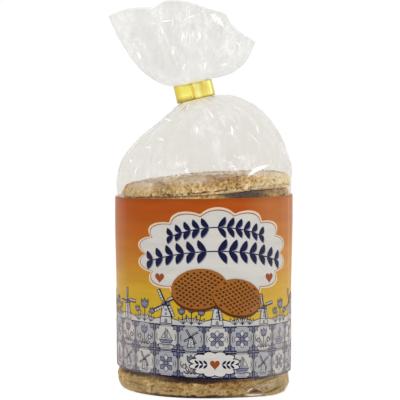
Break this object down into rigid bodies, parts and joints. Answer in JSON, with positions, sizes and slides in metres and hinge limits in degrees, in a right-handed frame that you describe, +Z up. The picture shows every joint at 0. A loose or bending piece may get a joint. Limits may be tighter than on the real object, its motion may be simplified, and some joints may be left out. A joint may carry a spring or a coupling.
{
  "type": "bag of stroopwafels",
  "caption": "Stack of round syrup waffles in a clear film bag with a printed label band, shut at the neck by a folded clip with an open film frill above.",
  "frame": {"origin": "centre of the flat base of the bag, on the surface it stands on", "axes": "+Z up along the stack, +X to the right seen from the front, and the front of the label towards -Y"},
  "size_m": [0.0876, 0.0854, 0.1859],
  "materials": {
    "film": "clear crinkled film",
    "print": "glossy printed film, orange fading to yellow",
    "gold": "shiny metallised strip",
    "waffle": "baked golden brown",
    "syrup": "sticky dark caramel",
    "ink_white": "glossy print",
    "ink_navy": "glossy print",
    "ink_brown": "glossy print"
  },
  "bodies": {
    "root": {"bag": "film", "label": "print", "clip": "gold"}
  },
  "joints": []
}
